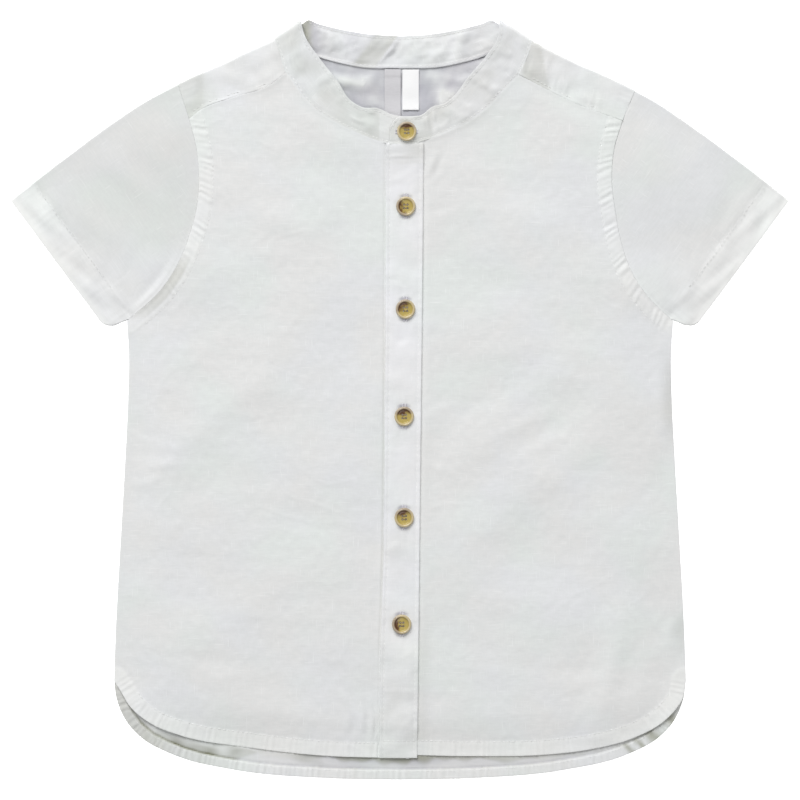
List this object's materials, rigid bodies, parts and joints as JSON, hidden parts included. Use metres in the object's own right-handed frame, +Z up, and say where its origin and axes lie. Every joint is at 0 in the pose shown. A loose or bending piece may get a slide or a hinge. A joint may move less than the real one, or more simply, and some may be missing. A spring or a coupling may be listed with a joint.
{
  "type": "mandarin collar shirt",
  "caption": "Toddler's short-sleeved shirt with a mandarin collar, buttoned placket, back yoke and curved hem, laid out flat on its back.",
  "frame": {"origin": "on the surface that the shirt lies on, under the middle of its outline", "axes": "+X across the shirt towards the wearer's left, +Y from the hem to the collar, +Z up from the surface, out of the shirt's front"},
  "size_m": [0.4288, 0.4179, 0.0109],
  "materials": {
    "cloth": "matte white linen and cotton slub cloth, plain weave, garment washed",
    "label_satin": "pale grey satin tape, bare",
    "label_tape": "white woven satin tape, bare",
    "button": "polished resin made to look like horn, amber with dark brown and pale patches"
  },
  "bodies": {
    "root": {"back_panel": "cloth", "yoke": "cloth", "front_right": "cloth", "front_left": "cloth", "placket": "cloth", "sleeve_right": "cloth", "sleeve_left": "cloth", "collar_outer": "cloth", "collar_inner": "cloth", "neck_label": "label_satin", "size_label": "label_tape", "button_1": "button", "button_2": "button", "button_3": "button", "button_4": "button", "button_5": "button", "button_6": "button"}
  },
  "joints": []
}
